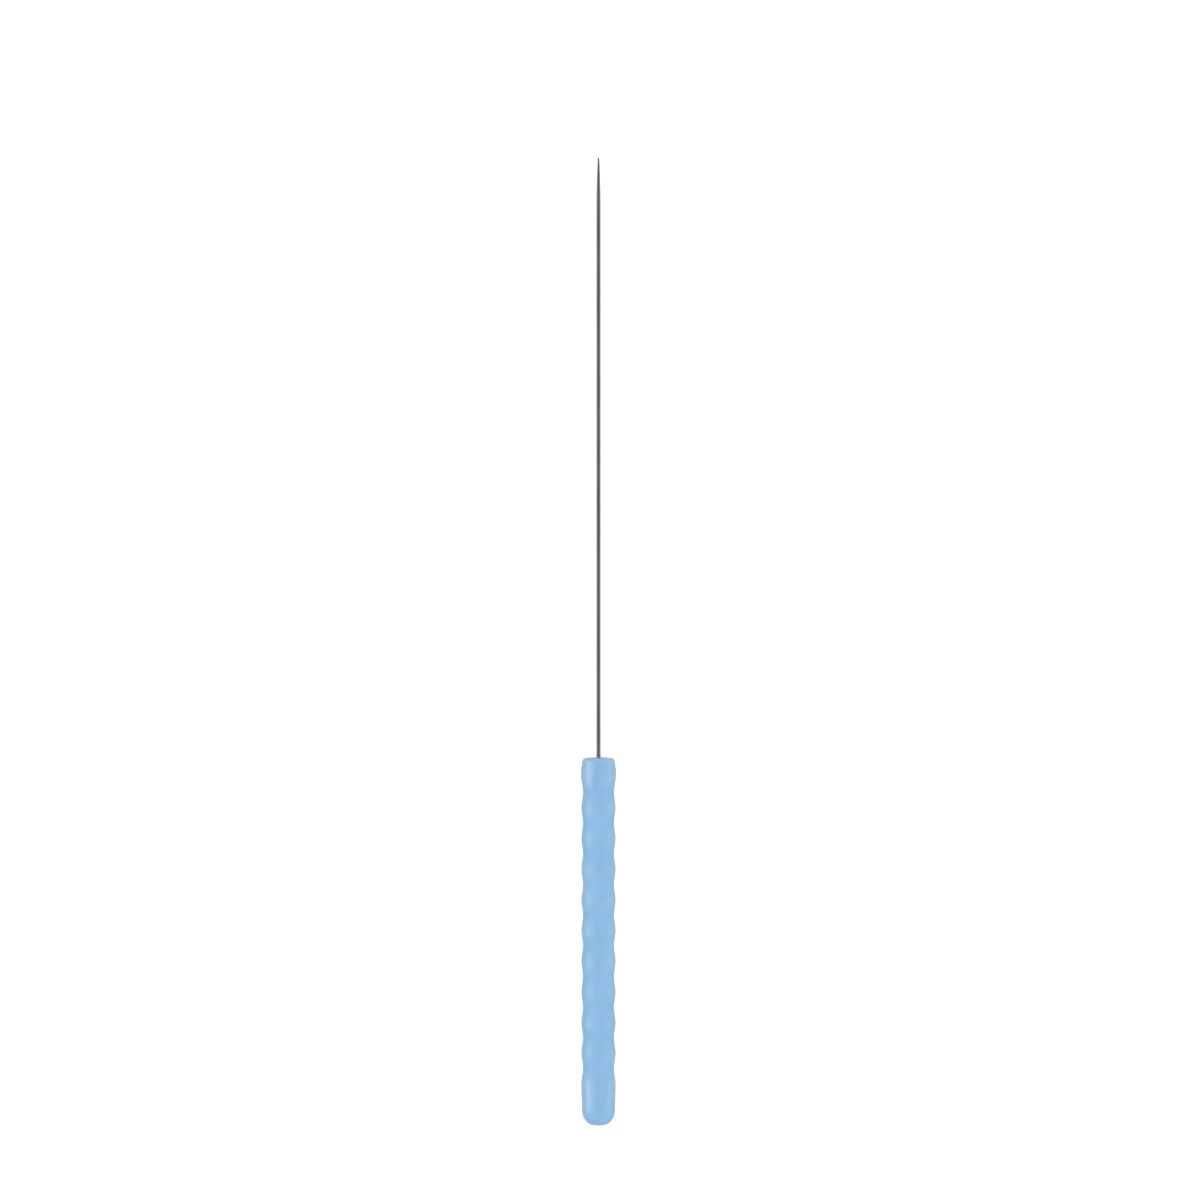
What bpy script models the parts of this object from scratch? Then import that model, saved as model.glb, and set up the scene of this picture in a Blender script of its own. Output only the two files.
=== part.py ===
"""Needle probe: a straight ground steel wire moulded into a ringed plastic handle.

The probe lies along Y with its point toward +Y and +Z up. The origin is below the middle of its
length, on the surface that its front collar rests on. Both pieces are turned about one axis, so
they are modelled upright in the frame of an empty: its local Z runs along the probe toward the
point, and its local zero is the handle's front face. Units are metres.
"""

import math

import bpy

MM = 0.001

# Overall sizes
OVERALL_LENGTH = 133.0 * MM
HANDLE_LENGTH = 50.5 * MM
WIRE_RADIUS = 0.3 * MM

# Handle, with every "depth" measured from the front face toward the butt
COLLAR_RADIUS = 2.42 * MM
COLLAR_DEPTH = 2.2 * MM
COLLAR_FRONT_RADIUS = 2.29 * MM
FRONT_EDGE_ROUND = 0.7 * MM
RING_COUNT = 9
RING_PITCH = 4.216 * MM
RING_CREST_RADIUS = 2.335 * MM
RING_VALLEY_RADIUS = 2.12 * MM
FIRST_VALLEY_DEPTH = 4.77 * MM
BARREL_RADIUS = 2.35 * MM
BARREL_RISE = 2.1 * MM
BUTT_RADIUS = 2.267 * MM
BUTT_DOME_LENGTH = 2.1 * MM
BUTT_FLAT_RADIUS = 0.6 * MM

# Wire: its ground point, and the tail that the handle is moulded around
POINT_LENGTH = 6.6 * MM
POINT_END_RADIUS = 0.12 * MM
TAIL_LENGTH = 22.0 * MM
EAR_DEPTHS = (10.0 * MM, 14.0 * MM, 18.0 * MM)
EAR_LENGTH = 3.0 * MM
EAR_THINNING = 0.6

# Space between the wire and the plastic, where the real pieces are bonded
MOULD_GAP = 0.03 * MM
CUTTER_OVERRUN = 1.0 * MM

# Facets
HANDLE_SIDES = 24
WIRE_SIDES = 16
HALF_WAVE_STEPS = 4
EDGE_STEPS = 4
DOME_STEPS = 8
POINT_STEPS = 8
EAR_STEPS = 6
WELD_DISTANCE = 1e-7
SHARP_ANGLE = math.radians(40)

BLUE_PLASTIC = (0.215, 0.400, 0.585, 1.0)
BRIGHT_STEEL = (0.40, 0.40, 0.405, 1.0)


def clear_scene():
    for obj in list(bpy.data.objects):
        bpy.data.objects.remove(obj)


def new_collection(name):
    collection = bpy.data.collections.new(name)
    bpy.context.scene.collection.children.link(collection)
    return collection


def new_material(name, color, roughness, metallic):
    material = bpy.data.materials.new(name)
    material.use_nodes = True
    shader = material.node_tree.nodes["Principled BSDF"]
    shader.inputs["Base Color"].default_value = color
    shader.inputs["Roughness"].default_value = roughness
    shader.inputs["Metallic"].default_value = metallic
    return material


def half_wave(start, end):
    """Points after start up to end, on half a sine wave that is level at both ends."""
    (start_radius, start_depth), (end_radius, end_depth) = start, end
    points = []
    for i in range(1, HALF_WAVE_STEPS + 1):
        part = i / HALF_WAVE_STEPS
        height = (1.0 - math.cos(math.pi * part)) / 2.0
        radius = start_radius + (end_radius - start_radius) * height
        points.append((radius, start_depth + (end_depth - start_depth) * part))
    return points


def quarter_ellipse(centre, radius, length, steps, closing):
    """Points of a quarter ellipse: opening out from a flat face, or closing to one."""
    centre_radius, centre_depth = centre
    points = []
    for i in range(1, steps + 1):
        turn = math.pi / 2 * i / steps
        if closing:
            points.append((centre_radius + radius * math.cos(turn), centre_depth + length * math.sin(turn)))
        else:
            points.append((centre_radius + radius * math.sin(turn), centre_depth - length * math.cos(turn)))
    return points


def handle_outline():
    """The handle's (radius, depth) points from the middle of its front face to that of its butt."""
    face_radius = COLLAR_FRONT_RADIUS - FRONT_EDGE_ROUND
    last_valley_depth = FIRST_VALLEY_DEPTH + RING_COUNT * RING_PITCH
    collar_front = (COLLAR_FRONT_RADIUS, FRONT_EDGE_ROUND)
    collar_crest = (COLLAR_RADIUS, COLLAR_DEPTH)
    barrel_crest = (BARREL_RADIUS, last_valley_depth + BARREL_RISE)
    barrel_end = (BUTT_RADIUS, HANDLE_LENGTH - BUTT_DOME_LENGTH)
    waves = [collar_crest]
    for ring in range(RING_COUNT):
        valley_depth = FIRST_VALLEY_DEPTH + ring * RING_PITCH
        waves.append((RING_VALLEY_RADIUS, valley_depth))
        waves.append((RING_CREST_RADIUS, valley_depth + RING_PITCH / 2))
    waves.append((RING_VALLEY_RADIUS, last_valley_depth))
    waves.append(barrel_crest)

    points = [(0.0, 0.0), (face_radius, 0.0)]
    edge_centre = (face_radius, FRONT_EDGE_ROUND)
    points += quarter_ellipse(edge_centre, FRONT_EDGE_ROUND, FRONT_EDGE_ROUND, EDGE_STEPS, closing=False)
    points += half_wave(collar_front, collar_crest)
    for start, end in zip(waves, waves[1:]):
        points += half_wave(start, end)
    points += half_wave(barrel_crest, barrel_end)
    dome_centre = (BUTT_FLAT_RADIUS, HANDLE_LENGTH - BUTT_DOME_LENGTH)
    dome_width = BUTT_RADIUS - BUTT_FLAT_RADIUS
    points += quarter_ellipse(dome_centre, dome_width, BUTT_DOME_LENGTH, DOME_STEPS, closing=True)
    points.append((0.0, HANDLE_LENGTH))
    return points


def tail_outline(radius):
    """The (radius, depth) points of the moulded-in tail, with a ring wherever an ear is pressed."""
    points = []
    for ear_depth in EAR_DEPTHS:
        for i in range(EAR_STEPS + 1):
            points.append((radius, ear_depth + EAR_LENGTH * (i / EAR_STEPS - 0.5)))
    return points


def wire_outline():
    """The point has a round end, and from there it swells in a slender arch to the full wire."""
    tip_depth = HANDLE_LENGTH - OVERALL_LENGTH
    end_depth = tip_depth + POINT_END_RADIUS
    points = [(0.0, tip_depth)]
    points += quarter_ellipse((0.0, end_depth), POINT_END_RADIUS, POINT_END_RADIUS, EDGE_STEPS, closing=False)
    for i in range(1, POINT_STEPS + 1):
        part = i / POINT_STEPS
        radius = POINT_END_RADIUS + (WIRE_RADIUS - POINT_END_RADIUS) * (1.0 - (1.0 - part) ** 2)
        points.append((radius, end_depth + (POINT_LENGTH - POINT_END_RADIUS) * part))
    points += tail_outline(WIRE_RADIUS)
    points += [(WIRE_RADIUS, TAIL_LENGTH), (0.0, TAIL_LENGTH)]
    return points


def cavity_outline():
    radius = WIRE_RADIUS + MOULD_GAP
    bottom_depth = TAIL_LENGTH + MOULD_GAP
    points = [(0.0, -CUTTER_OVERRUN), (radius, -CUTTER_OVERRUN)]
    points += tail_outline(radius)
    points += [(radius, bottom_depth), (0.0, bottom_depth)]
    return points


def turned_mesh(name, outline, sides, stretch=1.0):
    """Turn an outline about Z. Stretch scales the radii, so that flats can lie on a true radius."""
    profile = bpy.data.meshes.new(name + "_profile")
    vertices = [(radius * stretch, 0.0, -depth) for radius, depth in outline]
    edges = [(i, i + 1) for i in range(len(vertices) - 1)]
    profile.from_pydata(vertices, edges, [])
    lathe = bpy.data.objects.new(name + "_profile", profile)
    bpy.context.scene.collection.objects.link(lathe)
    screw = lathe.modifiers.new("Screw", "SCREW")
    screw.axis = "Z"
    screw.steps = sides
    screw.render_steps = sides
    screw.use_merge_vertices = True
    screw.merge_threshold = WELD_DISTANCE
    evaluated = lathe.evaluated_get(bpy.context.evaluated_depsgraph_get())
    mesh = bpy.data.meshes.new_from_object(evaluated)
    bpy.data.objects.remove(lathe)
    bpy.data.meshes.remove(profile)
    mesh.name = name
    mesh.shade_smooth()
    mesh.set_sharp_from_angle(angle=SHARP_ANGLE)
    return mesh


def press_ears(mesh):
    """Coin the tail flat at each ear: thinner across Y and as much wider across X."""
    for vertex in mesh.vertices:
        for ear_depth in EAR_DEPTHS:
            offset = (-vertex.co.z - ear_depth) / (EAR_LENGTH / 2)
            if abs(offset) < 1.0:
                press = (1.0 + math.cos(math.pi * offset)) / 2.0
                thinning = 1.0 - press * (1.0 - EAR_THINNING)
                vertex.co.x /= thinning
                vertex.co.y *= thinning


def place(name, mesh, material, collection, axis_frame):
    obj = bpy.data.objects.new(name, mesh)
    mesh.materials.append(material)
    collection.objects.link(obj)
    obj.parent = axis_frame
    return obj


def make_axis_frame(collection):
    """The empty on the probe's axis, at the handle's front face, with its Z toward the point."""
    frame = bpy.data.objects.new("probe_axis", None)
    frame.location = (0.0, HANDLE_LENGTH - OVERALL_LENGTH / 2, COLLAR_RADIUS)
    frame.rotation_euler = (-math.pi / 2, 0.0, 0.0)
    collection.objects.link(frame)
    return frame


def make_needle(collection, axis_frame):
    mesh = turned_mesh("needle", wire_outline(), WIRE_SIDES)
    press_ears(mesh)
    steel = new_material("bright_steel_wire", BRIGHT_STEEL, roughness=0.28, metallic=1.0)
    return place("needle", mesh, steel, collection, axis_frame)


def make_cavity_cutter(collection, axis_frame, material):
    mesh = turned_mesh("needle_cavity_cutter", cavity_outline(), WIRE_SIDES)
    press_ears(mesh)
    cutter = place("needle_cavity_cutter", mesh, material, collection, axis_frame)
    cutter.hide_render = True
    cutter.display_type = "WIRE"
    return cutter


def make_handle(collection, cutters, axis_frame):
    """The handle stands on one of its flats, whose distance from the axis is the true radius."""
    half_facet = math.pi / HANDLE_SIDES
    plastic = new_material("blue_plastic", BLUE_PLASTIC, roughness=0.3, metallic=0.0)
    mesh = turned_mesh("handle", handle_outline(), HANDLE_SIDES, stretch=1.0 / math.cos(half_facet))
    handle = place("handle", mesh, plastic, collection, axis_frame)
    handle.rotation_euler = (0.0, 0.0, half_facet)
    cavity = handle.modifiers.new("needle cavity", "BOOLEAN")
    cavity.operation = "DIFFERENCE"
    cavity.solver = "EXACT"
    cavity.object = make_cavity_cutter(cutters, axis_frame, plastic)
    return handle


def main():
    clear_scene()
    parts = new_collection("needle_probe")
    cutters = new_collection("cutters")
    axis_frame = make_axis_frame(parts)
    make_needle(parts, axis_frame)
    make_handle(parts, cutters, axis_frame)


main()
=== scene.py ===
"""Looks of the needle probe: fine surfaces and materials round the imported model, light and camera.

Units are metres, in the frame of the CAD: the probe lies along Y with its point toward +Y.
"""

import math

import bpy
import numpy as np
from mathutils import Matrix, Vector


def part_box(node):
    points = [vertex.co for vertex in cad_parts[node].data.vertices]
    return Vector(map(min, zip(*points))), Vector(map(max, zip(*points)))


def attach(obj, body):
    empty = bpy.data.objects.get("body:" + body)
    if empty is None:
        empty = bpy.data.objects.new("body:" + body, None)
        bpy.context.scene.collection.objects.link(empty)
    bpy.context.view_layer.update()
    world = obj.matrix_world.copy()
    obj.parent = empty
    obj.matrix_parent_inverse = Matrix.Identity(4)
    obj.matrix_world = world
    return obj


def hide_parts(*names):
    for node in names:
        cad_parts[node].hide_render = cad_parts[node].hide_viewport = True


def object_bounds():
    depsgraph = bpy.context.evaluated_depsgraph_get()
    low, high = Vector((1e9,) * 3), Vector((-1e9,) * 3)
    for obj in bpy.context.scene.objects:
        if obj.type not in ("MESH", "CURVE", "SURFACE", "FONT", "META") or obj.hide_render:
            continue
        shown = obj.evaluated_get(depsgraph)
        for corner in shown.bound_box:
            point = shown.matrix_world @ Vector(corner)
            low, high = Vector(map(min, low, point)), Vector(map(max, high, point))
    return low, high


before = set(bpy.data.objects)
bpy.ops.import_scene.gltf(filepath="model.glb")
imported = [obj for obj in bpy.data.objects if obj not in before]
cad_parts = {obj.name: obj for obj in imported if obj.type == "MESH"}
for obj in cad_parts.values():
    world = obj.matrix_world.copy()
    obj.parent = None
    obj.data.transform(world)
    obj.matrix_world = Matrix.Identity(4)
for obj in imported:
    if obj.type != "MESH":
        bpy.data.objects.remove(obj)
cad_bounds = [list(corner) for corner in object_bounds()]

MM = 0.001

# Places and sizes that the frame gives
handle_low, handle_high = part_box("handle")
needle_low, needle_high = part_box("needle")
AXIS_HEIGHT = (handle_low.z + handle_high.z) / 2
FRONT_Y = handle_high.y
BUTT_Y = handle_low.y
TIP_Y = needle_high.y
TAIL_Y = needle_low.y
HANDLE_LENGTH = FRONT_Y - BUTT_Y
TAIL_LENGTH = FRONT_Y - TAIL_Y
BARE_LENGTH = TIP_Y - FRONT_Y
PROBE_LENGTH = TIP_Y - BUTT_Y
COLLAR_RADIUS = (handle_high.x - handle_low.x) / 2
WIRE_RADIUS = (needle_high.z - needle_low.z) / 2
PROBE_MIDDLE = Vector((0.0, (TIP_Y + BUTT_Y) / 2, AXIS_HEIGHT))
HANDLE_MIDDLE = Vector((0.0, (FRONT_Y + BUTT_Y) / 2, AXIS_HEIGHT))

# The handle's design, with every "depth" measured from its front face toward the butt
COLLAR_DEPTH = 2.2 * MM
COLLAR_FRONT_RADIUS = 2.29 * MM
FRONT_EDGE_ROUND = 0.7 * MM
RING_COUNT = 9
RING_PITCH = 4.216 * MM
RING_CREST_RADIUS = 2.335 * MM
RING_VALLEY_RADIUS = 2.12 * MM
FIRST_VALLEY_DEPTH = 4.77 * MM
LAST_VALLEY_DEPTH = FIRST_VALLEY_DEPTH + RING_COUNT * RING_PITCH
BARREL_RADIUS = 2.35 * MM
BARREL_RISE = 2.1 * MM
BUTT_RADIUS = 2.267 * MM
BUTT_DOME_LENGTH = 2.1 * MM
BUTT_FLAT_RADIUS = 0.6 * MM
DOME_DEPTH = HANDLE_LENGTH - BUTT_DOME_LENGTH

# The wire's design, and the cavity that its tail fills, with a gap too narrow to show
POINT_LENGTH = 6.6 * MM
POINT_END_RADIUS = 0.12 * MM
EAR_DEPTHS = (10.0 * MM, 14.0 * MM, 18.0 * MM)
EAR_LENGTH = 3.0 * MM
EAR_THINNING = 0.6
MOULD_GAP = 0.005 * MM

# Moulding marks that only the fine surface carries
SEAM_HEIGHT = 0.016 * MM
SEAM_HALF_WIDTH = 0.035 * MM
SEAM_FADE_START = RING_VALLEY_RADIUS * 0.6
SEAM_FADE_WIDTH = RING_VALLEY_RADIUS * 0.3
GATE_RECESS_RADIUS = 0.55 * MM
GATE_RECESS_DEPTH = 0.07 * MM
GATE_STUB_RADIUS = 0.22 * MM
GATE_STUB_HEIGHT = 0.05 * MM
BORE_DIMPLE_RADIUS = 0.42 * MM
BORE_DIMPLE_DEPTH = 0.04 * MM

# How finely the surfaces are divided
HANDLE_SIDES = 120
NEEDLE_SIDES = 48
SHARP_ANGLE = math.radians(35)
FACE_RINGS = (0.45, 0.75, 1.0)
EDGE_STEPS = 12
COLLAR_FRONT_STEPS = 12
WAVE_STEPS = 20
DOME_STEPS = 24
GATE_STEPS = 14
DIMPLE_STEPS = 4
EAR_STEPS = 12
POINT_END_STEPS = 6
POINT_STEPS = 36
SHANK_STEPS = 40

# Plastic. A noise's scale is its number of features in a metre along X, Y and Z.
PLASTIC_DEEP = (0.222, 0.396, 0.595)
PLASTIC_LIGHT = (0.236, 0.412, 0.616)
PLASTIC_SPECK = (0.30, 0.50, 0.72)
SPECK_STRENGTH = 0.10
FLOW_SCALE = (420.0, 130.0, 420.0)
SPECK_SCALE = (5200.0, 5200.0, 5200.0)
SKIN_SCALE = (9000.0, 9000.0, 9000.0)
SCUFF_SCALE = (5200.0, 260.0, 5200.0)
PEEL_SCALE = (900.0, 620.0, 900.0)
PLASTIC_ROUGHNESS = (0.42, 0.50)
SCUFF_ROUGHNESS = 0.12
CREST_POLISH = 0.6
COAT_CLEAN = 1.0
COAT_SCUFFED = 0.55
COAT_ROUGHNESS = 0.07
COAT_IOR = 1.62
PLASTIC_IOR = 1.49
PLASTIC_SPECULAR = 0.25
PEEL_HEIGHT = 0.006 * MM
SKIN_HEIGHT = 0.0012 * MM
SCUFF_HEIGHT = 0.0008 * MM
SCATTER_WEIGHT = 0.7
SCATTER_RADIUS = (0.6, 0.8, 1.0)
SCATTER_SCALE = 1.2 * MM

# Steel
STEEL_DARK = (0.36, 0.36, 0.365)
STEEL_BRIGHT = (0.42, 0.42, 0.425)
STEEL_GROUND = (0.42, 0.42, 0.42)
DRAWN_SCALE = (26000.0, 90.0, 26000.0)
GRIND_SCALE = (1500.0, 30000.0, 1500.0)
PATCH_SCALE = (300.0, 160.0, 300.0)
DRAWN_ROUGHNESS = (0.14, 0.27)
GROUND_ROUGHNESS = (0.20, 0.40)
LINE_HEIGHT = 0.0018 * MM
GRIND_FADE = 0.3 * MM

# Table
FLOOR_SHADE = (0.48, 0.48, 0.48)
FLOOR_WHITE = (0.50, 0.50, 0.50)
FLOOR_LIFT = 0.70
FLOOR_MOTTLE_SCALE = (12.0, 12.0, 12.0)
FLOOR_ROUGHNESS = 0.9
FLOOR_SPECULAR = 0.2
TABLE_HALF_WIDTH = 1.5

# Tent: its strength at the sides and overhead, and the sines of the elevations that the fade spans
SKY_SIDE = 1.22
SKY_TOP = 0.25
SKY_SIDE_Z = 0.08
SKY_TOP_Z = 0.59

# Lamps, with angles in degrees
OVERHEAD_POWER = 2.86
OVERHEAD_SPREAD = 120.0
OVERHEAD_TILT = 14.0
SOFTBOX_RADIANCE = 1.4
SOFTBOX_DISTANCE = 0.5
SOFTBOX_LOW_ANGLE = 37.0
SOFTBOX_HIGH_ANGLE = 88.0
SOFTBOX_LENGTH = 0.34

# Camera: the height of what it sees, and how far it stands from the probe's middle
VIEW_HEIGHT = 1.24 * PROBE_LENGTH
VIEW_UP = 0.0426 * PROBE_LENGTH
VIEW_RIGHT = 0.00155 * PROBE_LENGTH
CAMERA_LENS = 150.0
CAMERA_SENSOR = 36.0
CAMERA_NEAR = 0.01


# ---------------------------------------------------------------- turned surfaces

def ease(part):
    """A smooth rise from 0 to 1, level at both ends."""
    return (1.0 - np.cos(math.pi * part)) / 2.0


def half_wave(start, end, steps):
    """(radius, depth) points after start up to end, on half a sine wave that is level at both."""
    (start_radius, start_depth), (end_radius, end_depth) = start, end
    part = np.arange(1, steps + 1) / steps
    radii = start_radius + (end_radius - start_radius) * ease(part)
    return list(zip(radii, start_depth + (end_depth - start_depth) * part))


def quarter_round(centre, radius, length, steps, closing):
    """(radius, depth) points of a quarter ellipse: opening from a face, or closing to one."""
    turn = math.pi / 2 * np.arange(1, steps + 1) / steps
    if closing:
        return list(zip(centre[0] + radius * np.cos(turn), centre[1] + length * np.sin(turn)))
    return list(zip(centre[0] + radius * np.sin(turn), centre[1] - length * np.cos(turn)))


def even_angles(count):
    return np.arange(count) * 2 * math.pi / count


def seamed_angles(count, seam_radius):
    """Even angles, with close ones across each of the two seams at angle 0 and at half a turn."""
    across = np.array((-3.0, -1.5, -0.75, 0.0, 0.75, 1.5, 3.0)) * SEAM_HALF_WIDTH / seam_radius
    angles = even_angles(count)
    for seam in (0.0, math.pi):
        off_seam = (angles - seam + math.pi) % (2 * math.pi) - math.pi
        angles = angles[np.abs(off_seam) > 1.5 * across[-1]]
        angles = np.append(angles, seam + across)
    return np.sort(angles % (2 * math.pi))


def lathe(name, outline, angles):
    """A closed mesh turned about the probe's axis, from an outline whose two ends lie on the axis."""
    radii, depths = np.array(outline[1:-1]).T
    ring_count, side_count = len(radii), len(angles)
    x = radii[:, None] * np.cos(angles)
    z = radii[:, None] * np.sin(angles)
    y = np.repeat((FRONT_Y - depths)[:, None], side_count, axis=1)
    points = np.stack((x, y, z + AXIS_HEIGHT), axis=2).reshape(-1, 3)
    first_pole = (0.0, FRONT_Y - outline[0][1], AXIS_HEIGHT)
    last_pole = (0.0, FRONT_Y - outline[-1][1], AXIS_HEIGHT)
    vertices = [tuple(point) for point in points] + [first_pole, last_pole]
    first, last = len(points), len(points) + 1

    faces = []
    for ring in range(ring_count - 1):
        here = ring * side_count
        there = here + side_count
        for side in range(side_count):
            after = (side + 1) % side_count
            faces.append((here + side, here + after, there + after, there + side))
    end = (ring_count - 1) * side_count
    for side in range(side_count):
        after = (side + 1) % side_count
        faces.append((first, after, side))
        faces.append((last, end + side, end + after))

    mesh = bpy.data.meshes.new(name)
    mesh.from_pydata(vertices, [], faces)
    mesh.update()
    mesh.shade_smooth()
    mesh.set_sharp_from_angle(angle=SHARP_ANGLE)
    piece = bpy.data.objects.new(name, mesh)
    bpy.context.scene.collection.objects.link(piece)
    return piece


def point_array(mesh):
    flat = np.empty(len(mesh.vertices) * 3)
    mesh.vertices.foreach_get("co", flat)
    return flat.reshape(-1, 3)


def set_points(mesh, points):
    mesh.vertices.foreach_set("co", points.ravel())
    mesh.update()


def press_ears(points, inside):
    """Coin the tail, or the cavity round it, flat at each ear, as the CAD does."""
    depth = FRONT_Y - points[:, 1]
    for ear_depth in EAR_DEPTHS:
        offset = np.clip((depth - ear_depth) / (EAR_LENGTH / 2), -1.0, 1.0)
        press = np.where(inside, (1.0 + np.cos(math.pi * offset)) / 2.0, 0.0)
        thinning = 1.0 - press * (1.0 - EAR_THINNING)
        points[:, 0] /= thinning
        points[:, 2] = AXIS_HEIGHT + (points[:, 2] - AXIS_HEIGHT) * thinning
    return points


def tail_depths():
    """Depths of the rings that an ear's form needs, for every ear."""
    part = np.arange(EAR_STEPS + 1) / EAR_STEPS
    depths = []
    for ear_depth in EAR_DEPTHS:
        depths += list(ear_depth + EAR_LENGTH * (part - 0.5))
    return depths


def add_mask(mesh, name, values):
    """A number on each point that a material can read."""
    attribute = mesh.attributes.new(name, "FLOAT", "POINT")
    attribute.data.foreach_set("value", np.asarray(values, dtype=np.float32))


# ---------------------------------------------------------------- the handle

def bore_outline():
    """The cavity's wall, from its bottom out to the dimple where the wire leaves the front face."""
    radius = WIRE_RADIUS + MOULD_GAP
    bottom = TAIL_LENGTH + MOULD_GAP
    outline = [(0.0, bottom), (radius, bottom)]
    outline += [(radius, depth) for depth in reversed(tail_depths())]
    outline.append((radius, BORE_DIMPLE_DEPTH))
    for step in range(1, DIMPLE_STEPS + 1):
        part = step / DIMPLE_STEPS
        widening = (BORE_DIMPLE_RADIUS - radius) * part
        outline.append((radius + widening, BORE_DIMPLE_DEPTH * (1.0 - ease(part))))
    return outline


def grip_outline():
    """The front face, its rounded edge, the collar, the rings and the end barrel."""
    face_radius = COLLAR_FRONT_RADIUS - FRONT_EDGE_ROUND
    edge_centre = (face_radius, FRONT_EDGE_ROUND)
    collar_front = (COLLAR_FRONT_RADIUS, FRONT_EDGE_ROUND)
    collar_crest = (COLLAR_RADIUS, COLLAR_DEPTH)
    barrel_crest = (BARREL_RADIUS, LAST_VALLEY_DEPTH + BARREL_RISE)
    barrel_end = (BUTT_RADIUS, DOME_DEPTH)
    waves = [collar_crest]
    for ring in range(RING_COUNT):
        valley_depth = FIRST_VALLEY_DEPTH + ring * RING_PITCH
        waves.append((RING_VALLEY_RADIUS, valley_depth))
        waves.append((RING_CREST_RADIUS, valley_depth + RING_PITCH / 2))
    waves.append((RING_VALLEY_RADIUS, LAST_VALLEY_DEPTH))
    waves.append(barrel_crest)
    waves.append(barrel_end)

    outline = [(face_radius * part, 0.0) for part in FACE_RINGS]
    outline += quarter_round(edge_centre, FRONT_EDGE_ROUND, FRONT_EDGE_ROUND, EDGE_STEPS, closing=False)
    outline += half_wave(collar_front, collar_crest, COLLAR_FRONT_STEPS)
    for start, end in zip(waves, waves[1:]):
        outline += half_wave(start, end, WAVE_STEPS)
    return outline


def gate_depth(radius):
    """How far the gate's recess goes in below the dome, less what its broken stub stands up in it."""
    recess = GATE_RECESS_DEPTH * (1.0 - np.clip(radius / GATE_RECESS_RADIUS, 0.0, 1.0) ** 6)
    stub = GATE_STUB_HEIGHT * (1.0 - np.clip(radius / GATE_STUB_RADIUS, 0.0, 1.0) ** 4)
    return recess - stub


def butt_outline():
    """The domed butt, with the gate's recess in the small flat in its middle."""
    dome_centre = (BUTT_FLAT_RADIUS, DOME_DEPTH)
    dome_radius = BUTT_RADIUS - BUTT_FLAT_RADIUS
    outline = quarter_round(dome_centre, dome_radius, BUTT_DOME_LENGTH, DOME_STEPS, closing=True)
    for radius in GATE_RECESS_RADIUS * (1.0 - np.arange(GATE_STEPS + 1) / GATE_STEPS):
        outline.append((radius, HANDLE_LENGTH - gate_depth(radius)))
    return outline


def raise_seam(points):
    """Raise the mould's parting line along both sides, except where it would pass the collar's radius."""
    x = points[:, 0]
    z = points[:, 2] - AXIS_HEIGHT
    radius = np.hypot(x, z)
    off_seam = np.abs(z) / SEAM_HALF_WIDTH
    on_grip = np.clip((radius - SEAM_FADE_START) / SEAM_FADE_WIDTH, 0.0, 1.0)
    raised = radius + SEAM_HEIGHT * np.exp(-off_seam ** 2) * on_grip
    never_zero = np.maximum(radius, 1e-9)
    scale = np.minimum(raised, COLLAR_RADIUS) / never_zero
    points[:, 0] = x * scale
    points[:, 2] = AXIS_HEIGHT + z * scale
    return points


def polish_on_handle(radius, depth):
    """How glossy the skin is: full on the collar and the barrel, less on crests, none in valleys."""
    crest = np.clip((radius - RING_VALLEY_RADIUS) / (RING_CREST_RADIUS - RING_VALLEY_RADIUS), 0.0, 1.0)
    barrel = np.clip((depth - LAST_VALLEY_DEPTH) / BARREL_RISE, 0.0, 1.0)
    dome = ease(np.clip((depth - DOME_DEPTH) / (BUTT_DOME_LENGTH / 2) + 0.5, 0.0, 1.0))
    stretches = (depth < COLLAR_DEPTH, depth < FIRST_VALLEY_DEPTH, depth < LAST_VALLEY_DEPTH)
    return np.select(stretches, (1.0, crest, crest * CREST_POLISH), default=barrel * (1.0 - dome))


def make_handle():
    outline = bore_outline() + grip_outline() + butt_outline()
    piece = lathe("moulded_handle", outline, seamed_angles(HANDLE_SIDES, RING_CREST_RADIUS))
    points = point_array(piece.data)
    radius = np.hypot(points[:, 0], points[:, 2] - AXIS_HEIGHT)
    add_mask(piece.data, "polish", polish_on_handle(radius, FRONT_Y - points[:, 1]))
    in_bore = radius < WIRE_RADIUS + 1.5 * MOULD_GAP
    points = press_ears(points, in_bore)
    set_points(piece.data, raise_seam(points))
    return piece


# ---------------------------------------------------------------- the needle

def needle_outline():
    """The point's round end, its slender arch, the bare wire and the tail."""
    end_radius = POINT_END_RADIUS
    end_depth = end_radius - BARE_LENGTH
    shank_length = BARE_LENGTH - POINT_LENGTH
    outline = [(0.0, -BARE_LENGTH)]
    outline += quarter_round((0.0, end_depth), end_radius, end_radius, POINT_END_STEPS, closing=False)
    for step in range(1, POINT_STEPS + 1):
        part = step / POINT_STEPS
        radius = end_radius + (WIRE_RADIUS - end_radius) * (1.0 - (1.0 - part) ** 2)
        outline.append((radius, end_depth + (POINT_LENGTH - end_radius) * part))
    for step in range(1, SHANK_STEPS + 1):
        outline.append((WIRE_RADIUS, -shank_length * (1.0 - step / SHANK_STEPS)))
    outline += [(WIRE_RADIUS, depth) for depth in tail_depths()]
    outline += [(WIRE_RADIUS, TAIL_LENGTH), (0.0, TAIL_LENGTH)]
    return outline


def make_needle():
    piece = lathe("steel_needle", needle_outline(), even_angles(NEEDLE_SIDES))
    points = point_array(piece.data)
    ground = (points[:, 1] - (TIP_Y - POINT_LENGTH)) / GRIND_FADE
    add_mask(piece.data, "ground", np.clip(ground, 0.0, 1.0))
    everywhere = np.ones(len(points), bool)
    set_points(piece.data, press_ears(points, everywhere))
    return piece


# ---------------------------------------------------------------- materials

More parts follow.
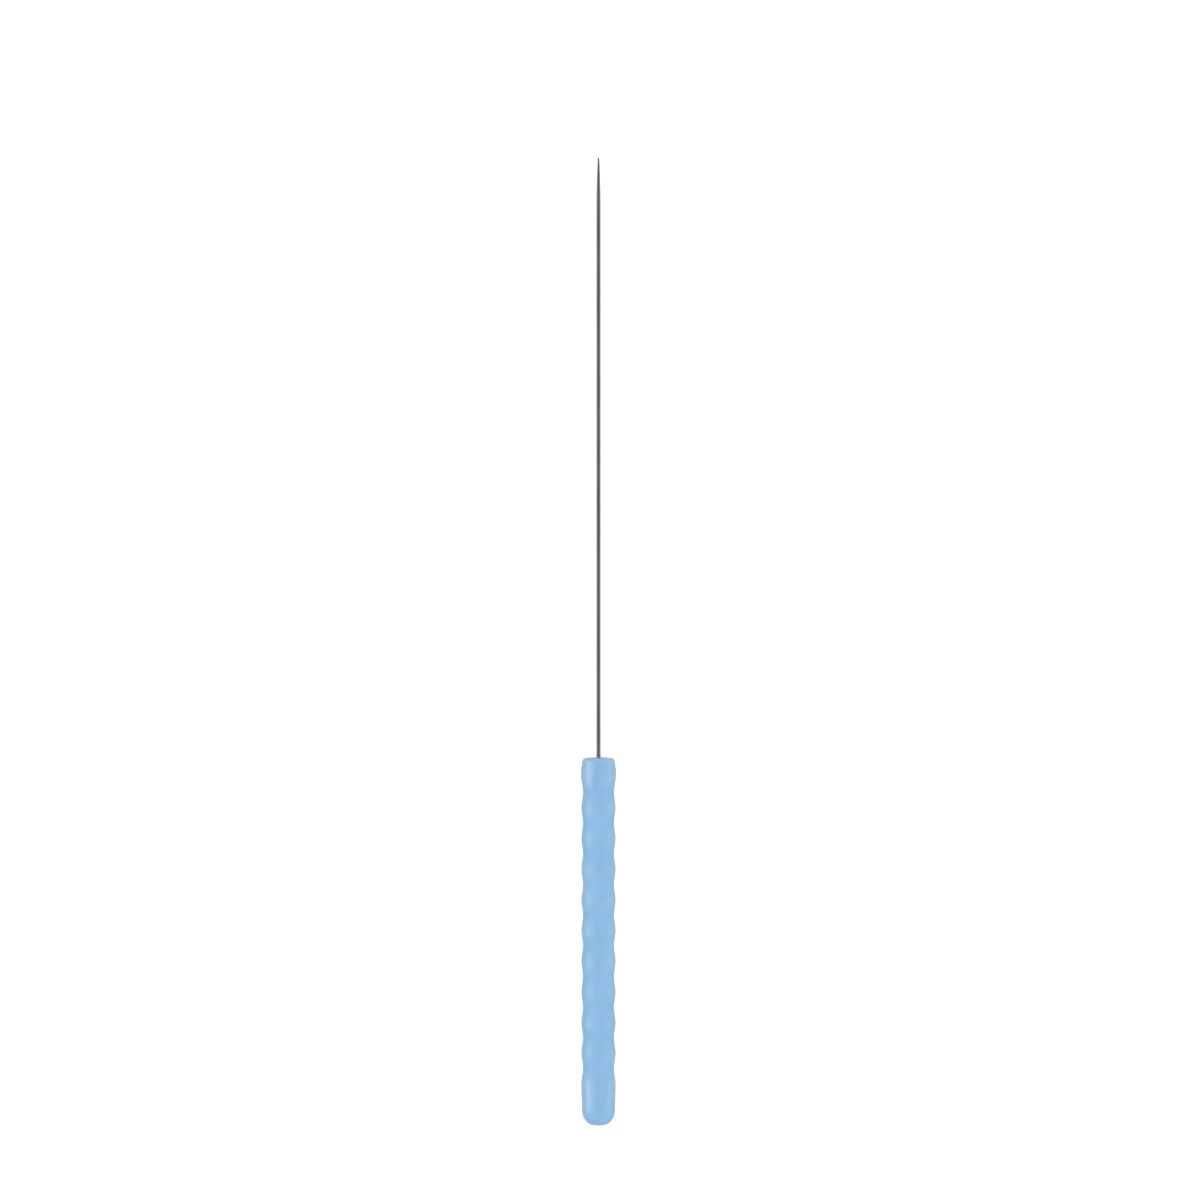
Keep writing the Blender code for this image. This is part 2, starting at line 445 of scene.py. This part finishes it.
def set_range(node, low, high, to_low, to_high):
    """Make a Map Range node take low to high smoothly to to_low to to_high."""
    node.interpolation_type = "SMOOTHSTEP"
    node.inputs["From Min"].default_value = low
    node.inputs["From Max"].default_value = high
    node.inputs["To Min"].default_value = to_low
    node.inputs["To Max"].default_value = to_high


class Nodes:
    """Short names for building a material's node tree."""

    def __init__(self, name):
        self.material = bpy.data.materials.new(name)
        self.material.use_nodes = True
        self.tree = self.material.node_tree
        self.shader = self.tree.nodes["Principled BSDF"]

    def add(self, kind, **settings):
        node = self.tree.nodes.new(kind)
        for key, value in settings.items():
            setattr(node, key, value)
        return node

    def link(self, source, target):
        self.tree.links.new(source, target)

    def place(self, scale):
        """Object coordinates, in metres, stretched by scale."""
        coordinates = self.add("ShaderNodeTexCoord")
        mapping = self.add("ShaderNodeMapping")
        mapping.inputs["Scale"].default_value = scale
        self.link(coordinates.outputs["Object"], mapping.inputs["Vector"])
        return mapping.outputs["Vector"]

    def noise(self, scale, detail=2.0, roughness=0.5):
        """Noise of about one feature for each 1/scale metres along X, Y and Z."""
        texture = self.add("ShaderNodeTexNoise")
        texture.inputs["Scale"].default_value = 1.0
        texture.inputs["Detail"].default_value = detail
        texture.inputs["Roughness"].default_value = roughness
        self.link(self.place(scale), texture.inputs["Vector"])
        return texture.outputs["Fac"]

    def spread(self, value, low, high, to_low=0.0, to_high=1.0):
        """Value, with low to high spread over to_low to to_high."""
        node = self.add("ShaderNodeMapRange")
        set_range(node, low, high, to_low, to_high)
        self.link(value, node.inputs["Value"])
        return node.outputs["Result"]

    def math(self, operation, first, second):
        node = self.add("ShaderNodeMath", operation=operation)
        for socket, value in zip(node.inputs, (first, second)):
            if isinstance(value, (int, float)):
                socket.default_value = value
            else:
                self.link(value, socket)
        return node.outputs["Value"]

    def blend(self, factor, first, second):
        """A colour from first to second. Each is a colour or a socket."""
        node = self.add("ShaderNodeMix", data_type="RGBA")
        self.link(factor, node.inputs["Factor"])
        for key, value in (("A", first), ("B", second)):
            socket = [s for s in node.inputs if s.name == key and s.type == "RGBA"][0]
            if isinstance(value, tuple):
                socket.default_value = (*value, 1.0)
            else:
                self.link(value, socket)
        return [s for s in node.outputs if s.type == "RGBA"][0]

    def attribute(self, name):
        node = self.add("ShaderNodeAttribute", attribute_type="GEOMETRY", attribute_name=name)
        return node.outputs["Fac"]

    def bump(self, height, distance, normal=None):
        node = self.add("ShaderNodeBump")
        node.inputs["Strength"].default_value = 1.0
        node.inputs["Distance"].default_value = distance
        self.link(height, node.inputs["Height"])
        if normal is not None:
            self.link(normal, node.inputs["Normal"])
        return node.outputs["Normal"]


def moulded_plastic():
    """Light blue plastic: soft flow marks, a fine spark-eroded skin, and a gloss where it is smooth."""
    n = Nodes("moulded_blue_plastic")
    flow = n.noise(FLOW_SCALE, detail=3.0)
    tint = n.blend(n.spread(flow, 0.3, 0.7), PLASTIC_DEEP, PLASTIC_LIGHT)
    specks = n.spread(n.noise(SPECK_SCALE, detail=1.0), 0.70, 0.78)
    color = n.blend(n.math("MULTIPLY", specks, SPECK_STRENGTH), tint, PLASTIC_SPECK)
    n.link(color, n.shader.inputs["Base Color"])

    skin = n.noise(SKIN_SCALE, detail=3.0, roughness=0.6)
    scuffs = n.spread(n.noise(SCUFF_SCALE, detail=1.0), 0.66, 0.74)
    rough = n.spread(skin, 0.3, 0.7, *PLASTIC_ROUGHNESS)
    scuffed = n.math("ADD", rough, n.math("MULTIPLY", scuffs, SCUFF_ROUGHNESS))
    n.link(scuffed, n.shader.inputs["Roughness"])
    coat = n.spread(scuffs, 0.0, 1.0, COAT_CLEAN, COAT_SCUFFED)
    n.link(n.math("MULTIPLY", n.attribute("polish"), coat), n.shader.inputs["Coat Weight"])
    n.shader.inputs["Coat Roughness"].default_value = COAT_ROUGHNESS
    n.shader.inputs["Coat IOR"].default_value = COAT_IOR

    peel = n.bump(n.noise(PEEL_SCALE, detail=1.0), PEEL_HEIGHT)
    grain = n.bump(skin, SKIN_HEIGHT, peel)
    n.link(n.bump(scuffs, SCUFF_HEIGHT, grain), n.shader.inputs["Normal"])
    n.shader.inputs["IOR"].default_value = PLASTIC_IOR
    n.shader.inputs["Specular IOR Level"].default_value = PLASTIC_SPECULAR
    n.shader.inputs["Subsurface Weight"].default_value = SCATTER_WEIGHT
    n.shader.inputs["Subsurface Radius"].default_value = SCATTER_RADIUS
    n.shader.inputs["Subsurface Scale"].default_value = SCATTER_SCALE
    return n.material


def drawn_steel():
    """Bright drawn wire with fine lines along it, and grinding marks round its point."""
    n = Nodes("drawn_steel_wire")
    ground = n.attribute("ground")
    drawn = n.noise(DRAWN_SCALE, detail=3.0, roughness=0.6)
    grind = n.noise(GRIND_SCALE, detail=3.0, roughness=0.6)
    patches = n.noise(PATCH_SCALE, detail=2.0)
    color = n.blend(n.spread(patches, 0.3, 0.7), STEEL_DARK, STEEL_BRIGHT)
    n.link(n.blend(ground, color, STEEL_GROUND), n.shader.inputs["Base Color"])

    wire_rough = n.spread(drawn, 0.3, 0.7, *DRAWN_ROUGHNESS)
    point_rough = n.spread(grind, 0.3, 0.7, *GROUND_ROUGHNESS)
    extra = n.math("MULTIPLY", n.math("SUBTRACT", point_rough, wire_rough), ground)
    n.link(n.math("ADD", wire_rough, extra), n.shader.inputs["Roughness"])

    along = n.math("MULTIPLY", drawn, n.math("SUBTRACT", 1.0, ground))
    lines = n.math("ADD", along, n.math("MULTIPLY", grind, ground))
    n.link(n.bump(lines, LINE_HEIGHT), n.shader.inputs["Normal"])
    n.shader.inputs["Metallic"].default_value = 1.0
    return n.material


def studio_floor():
    """A pale matt table top, very slightly mottled, exposed so that it shows as white.

    Only the camera sees it lifted to white: it lights the probe, and mirrors in it, as it is.
    """
    n = Nodes("white_table")
    mottle = n.spread(n.noise(FLOOR_MOTTLE_SCALE, detail=3.0), 0.3, 0.7)
    n.link(n.blend(mottle, FLOOR_SHADE, FLOOR_WHITE), n.shader.inputs["Base Color"])
    n.shader.inputs["Roughness"].default_value = FLOOR_ROUGHNESS
    n.shader.inputs["Specular IOR Level"].default_value = FLOOR_SPECULAR
    seen = n.add("ShaderNodeLightPath").outputs["Is Camera Ray"]
    n.link(n.math("MULTIPLY", seen, FLOOR_LIFT), n.shader.inputs["Emission Strength"])
    n.shader.inputs["Emission Color"].default_value = (1.0, 1.0, 1.0, 1.0)
    return n.material


# ---------------------------------------------------------------- studio

def make_floor():
    half = TABLE_HALF_WIDTH
    mesh = bpy.data.meshes.new("table")
    corners = [(-half, -half, 0.0), (half, -half, 0.0), (half, half, 0.0), (-half, half, 0.0)]
    mesh.from_pydata(corners, [], [(0, 1, 2, 3)])
    mesh.materials.append(studio_floor())
    floor = bpy.data.objects.new("table", mesh)
    floor.location.z = cad_bounds[0][2]
    bpy.context.scene.collection.objects.link(floor)
    return floor


def make_sky():
    """An even white tent round the table that darkens toward the zenith, where the camera hangs."""
    world = bpy.data.worlds.new("tent")
    bpy.context.scene.world = world
    world.use_nodes = True
    tree = world.node_tree
    background = tree.nodes["Background"]
    direction = tree.nodes.new("ShaderNodeTexCoord")
    split = tree.nodes.new("ShaderNodeSeparateXYZ")
    fade = tree.nodes.new("ShaderNodeMapRange")
    set_range(fade, SKY_SIDE_Z, SKY_TOP_Z, SKY_SIDE, SKY_TOP)
    tree.links.new(direction.outputs["Generated"], split.inputs["Vector"])
    tree.links.new(split.outputs["Z"], fade.inputs["Value"])
    tree.links.new(fade.outputs["Result"], background.inputs["Strength"])
    background.inputs["Color"].default_value = (1.0, 1.0, 1.0, 1.0)


def make_overhead():
    """A wide soft light from overhead that mirrors in nothing, tilted right to balance the softbox."""
    light = bpy.data.lights.new("overhead", "SUN")
    light.energy = OVERHEAD_POWER
    light.angle = math.radians(OVERHEAD_SPREAD)
    lamp = bpy.data.objects.new("overhead", light)
    lamp.visible_glossy = False
    lamp.rotation_euler = (0.0, math.radians(OVERHEAD_TILT), 0.0)
    bpy.context.scene.collection.objects.link(lamp)
    return lamp


def make_softbox():
    """A softbox on the handle's left, which spans its low to its high angle away from the zenith."""
    middle_angle = math.radians((SOFTBOX_LOW_ANGLE + SOFTBOX_HIGH_ANGLE) / 2)
    half_angle = math.radians((SOFTBOX_HIGH_ANGLE - SOFTBOX_LOW_ANGLE) / 2)
    light = bpy.data.lights.new("softbox", "AREA")
    light.shape = "RECTANGLE"
    light.size = 2 * SOFTBOX_DISTANCE * math.tan(half_angle)
    light.size_y = SOFTBOX_LENGTH
    light.energy = SOFTBOX_RADIANCE * math.pi * light.size * light.size_y
    box = bpy.data.objects.new("softbox", light)
    bpy.context.scene.collection.objects.link(box)
    toward = Vector((-math.sin(middle_angle), 0.0, math.cos(middle_angle)))
    box.location = HANDLE_MIDDLE + toward * SOFTBOX_DISTANCE
    box.rotation_euler = (0.0, -middle_angle, 0.0)
    return box


def keep_off_steel(lamps, lit_objects):
    """Let the lamps reach only lit_objects, as if a flag kept them off the steel's dark core."""
    lit = bpy.data.collections.new("lit_by_lamps")
    for obj in lit_objects:
        lit.objects.link(obj)
    for lamp in lamps:
        lamp.light_linking.receiver_collection = lit


def make_camera():
    """A long lens straight above the probe, with the point at the top of the picture."""
    camera = bpy.data.cameras.new("camera")
    camera.lens = CAMERA_LENS
    camera.sensor_width = CAMERA_SENSOR
    camera.clip_start = CAMERA_NEAR
    holder = bpy.data.objects.new("camera", camera)
    distance = VIEW_HEIGHT * CAMERA_LENS / CAMERA_SENSOR
    holder.location = PROBE_MIDDLE + Vector((VIEW_RIGHT, VIEW_UP, distance))
    bpy.context.scene.collection.objects.link(holder)
    bpy.context.scene.camera = holder
    bpy.context.scene.view_settings.view_transform = "Standard"


# ---------------------------------------------------------------- assembly

def finish_piece(piece, node, material):
    piece.data.materials.append(material)
    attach(piece, "root")
    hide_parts(node)
    return piece


make_camera()
make_sky()
table = make_floor()
handle = finish_piece(make_handle(), "handle", moulded_plastic())
finish_piece(make_needle(), "needle", drawn_steel())
keep_off_steel([make_overhead(), make_softbox()], [table, handle])
